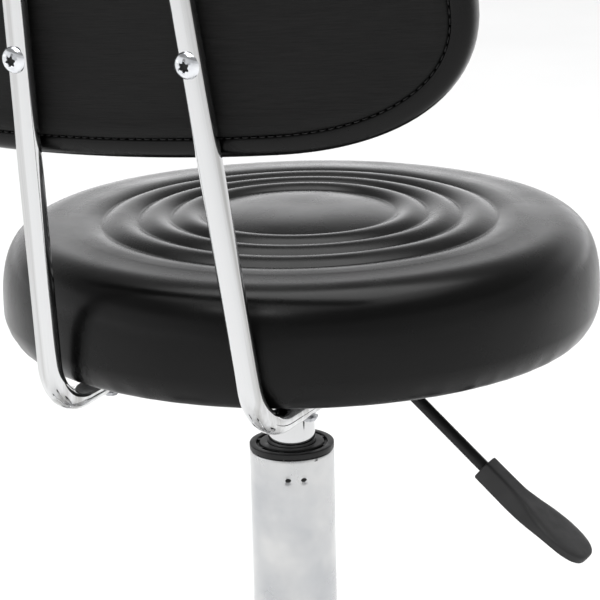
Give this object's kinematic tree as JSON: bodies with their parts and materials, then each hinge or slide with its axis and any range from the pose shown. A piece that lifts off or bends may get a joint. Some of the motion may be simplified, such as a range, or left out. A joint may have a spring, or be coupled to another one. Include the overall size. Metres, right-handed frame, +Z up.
{
  "type": "rolling stylist stool",
  "caption": "Round padded swivel stool on a gas lift and a five-star caster base, with a low curved backrest on bent chrome tubes and a height lever under the seat.",
  "frame": {"origin": "on the floor, on the column's axis", "axes": "+Z up, the sitter faces -Y, the height lever is on the -X side"},
  "size_m": [0.4856, 0.4867, 0.7803],
  "materials": {
    "chrome": "polished",
    "satin_chrome": "satin",
    "steel": "zinc plated",
    "black_steel": "black powder coat",
    "black_plastic": "fine texture",
    "grey_plastic": "fine texture",
    "wheel_plastic": "smooth",
    "seat_vinyl": "satin gloss coated fabric",
    "back_fabric": "fine woven grain",
    "felt": "non-woven",
    "foam": "open-cell foam",
    "plywood": "bare"
  },
  "bodies": {
    "base": {"base_star": "chrome", "column_tube": "satin_chrome", "column_bush": "black_plastic", "thrust_bearing": "steel", "caster_1_stem": "steel", "caster_2_stem": "steel", "caster_3_stem": "steel", "caster_4_stem": "steel", "caster_5_stem": "steel"},
    "piston": {"piston_rod": "steel", "retaining_clip": "steel"},
    "seat": {"gas_cylinder": "satin_chrome", "rod_guide": "black_plastic", "mount_plate": "black_steel", "plate_bolt_1": "steel", "plate_bolt_2": "steel", "plate_bolt_3": "steel", "plate_bolt_4": "steel", "seat_cover": "seat_vinyl", "seat_foam": "foam", "seat_board": "plywood", "dust_cover": "felt", "back_tube_right": "chrome", "back_tube_left": "chrome", "seat_screw_1": "steel", "seat_screw_2": "steel", "seat_screw_3": "steel", "seat_screw_4": "steel", "back_cover": "seat_vinyl", "back_foam": "foam", "back_board": "plywood", "back_rear_panel": "back_fabric", "back_screw_1": "chrome", "back_screw_2": "chrome", "back_screw_3": "chrome", "back_screw_4": "chrome"},
    "valve": {"valve_pin": "steel"},
    "lever": {"lever_rod": "black_steel", "lever_grip": "grey_plastic"},
    "caster_1_fork": {"caster_1_housing": "black_plastic", "caster_1_axle": "steel"},
    "caster_1_left": {"caster_1_wheel_left": "wheel_plastic"},
    "caster_1_right": {"caster_1_wheel_right": "wheel_plastic"},
    "caster_2_fork": {"caster_2_housing": "black_plastic", "caster_2_axle": "steel"},
    "caster_2_left": {"caster_2_wheel_left": "wheel_plastic"},
    "caster_2_right": {"caster_2_wheel_right": "wheel_plastic"},
    "caster_3_fork": {"caster_3_housing": "black_plastic", "caster_3_axle": "steel"},
    "caster_3_left": {"caster_3_wheel_left": "wheel_plastic"},
    "caster_3_right": {"caster_3_wheel_right": "wheel_plastic"},
    "caster_4_fork": {"caster_4_housing": "black_plastic", "caster_4_axle": "steel"},
    "caster_4_left": {"caster_4_wheel_left": "wheel_plastic"},
    "caster_4_right": {"caster_4_wheel_right": "wheel_plastic"},
    "caster_5_fork": {"caster_5_housing": "black_plastic", "caster_5_axle": "steel"},
    "caster_5_left": {"caster_5_wheel_left": "wheel_plastic"},
    "caster_5_right": {"caster_5_wheel_right": "wheel_plastic"}
  },
  "joints": [
    {"name": "seat_swivel", "type": "hinge", "parent": "base", "child": "piston", "pos_m": [0, 0, 0.069], "axis": [0, 0, 1], "continuous": true},
    {"name": "seat_lift", "type": "slide", "parent": "piston", "child": "seat", "axis": [0, 0, 1], "range_m": [0, 0.14]},
    {"name": "lever_pivot", "type": "hinge", "parent": "seat", "child": "lever", "pos_m": [-0.03475, 0, 0.3972], "axis": [0, 1, 0], "range_deg": [0, 6], "stiffness_Nm_per_rad": 4},
    {"name": "valve_press", "type": "slide", "parent": "seat", "child": "valve", "axis": [0, 0, -1], "range_m": [0, 0.0045]},
    {"name": "caster_1_swivel", "type": "hinge", "parent": "base", "child": "caster_1_fork", "pos_m": [0, -0.232, 0.0577], "axis": [0, 0, 1], "continuous": true},
    {"name": "caster_1_left_spin", "type": "hinge", "parent": "caster_1_fork", "child": "caster_1_left", "pos_m": [0, -0.208, 0.02452], "axis": [1, 0, 0], "continuous": true},
    {"name": "caster_1_right_spin", "type": "hinge", "parent": "caster_1_fork", "child": "caster_1_right", "pos_m": [0, -0.208, 0.02452], "axis": [1, 0, 0], "continuous": true},
    {"name": "caster_2_swivel", "type": "hinge", "parent": "base", "child": "caster_2_fork", "pos_m": [0.22065, -0.07169, 0.0577], "axis": [0, 0, 1], "continuous": true},
    {"name": "caster_2_left_spin", "type": "hinge", "parent": "caster_2_fork", "child": "caster_2_left", "pos_m": [0.22065, -0.04769, 0.02452], "axis": [1, 0, 0], "continuous": true},
    {"name": "caster_2_right_spin", "type": "hinge", "parent": "caster_2_fork", "child": "caster_2_right", "pos_m": [0.22065, -0.04769, 0.02452], "axis": [1, 0, 0], "continuous": true},
    {"name": "caster_3_swivel", "type": "hinge", "parent": "base", "child": "caster_3_fork", "pos_m": [0.13637, 0.18769, 0.0577], "axis": [0, 0, 1], "continuous": true},
    {"name": "caster_3_left_spin", "type": "hinge", "parent": "caster_3_fork", "child": "caster_3_left", "pos_m": [0.13637, 0.21169, 0.02452], "axis": [1, 0, 0], "continuous": true},
    {"name": "caster_3_right_spin", "type": "hinge", "parent": "caster_3_fork", "child": "caster_3_right", "pos_m": [0.13637, 0.21169, 0.02452], "axis": [1, 0, 0], "continuous": true},
    {"name": "caster_4_swivel", "type": "hinge", "parent": "base", "child": "caster_4_fork", "pos_m": [-0.13637, 0.18769, 0.0577], "axis": [0, 0, 1], "continuous": true},
    {"name": "caster_4_left_spin", "type": "hinge", "parent": "caster_4_fork", "child": "caster_4_left", "pos_m": [-0.13637, 0.21169, 0.02452], "axis": [1, 0, 0], "continuous": true},
    {"name": "caster_4_right_spin", "type": "hinge", "parent": "caster_4_fork", "child": "caster_4_right", "pos_m": [-0.13637, 0.21169, 0.02452], "axis": [1, 0, 0], "continuous": true},
    {"name": "caster_5_swivel", "type": "hinge", "parent": "base", "child": "caster_5_fork", "pos_m": [-0.22065, -0.07169, 0.0577], "axis": [0, 0, 1], "continuous": true},
    {"name": "caster_5_left_spin", "type": "hinge", "parent": "caster_5_fork", "child": "caster_5_left", "pos_m": [-0.22065, -0.04769, 0.02452], "axis": [1, 0, 0], "continuous": true},
    {"name": "caster_5_right_spin", "type": "hinge", "parent": "caster_5_fork", "child": "caster_5_right", "pos_m": [-0.22065, -0.04769, 0.02452], "axis": [1, 0, 0], "continuous": true}
  ],
  "couplings": [
    {"joint": "valve_press", "follows": "lever_pivot", "m_per_rad": 0.0385}
  ]
}
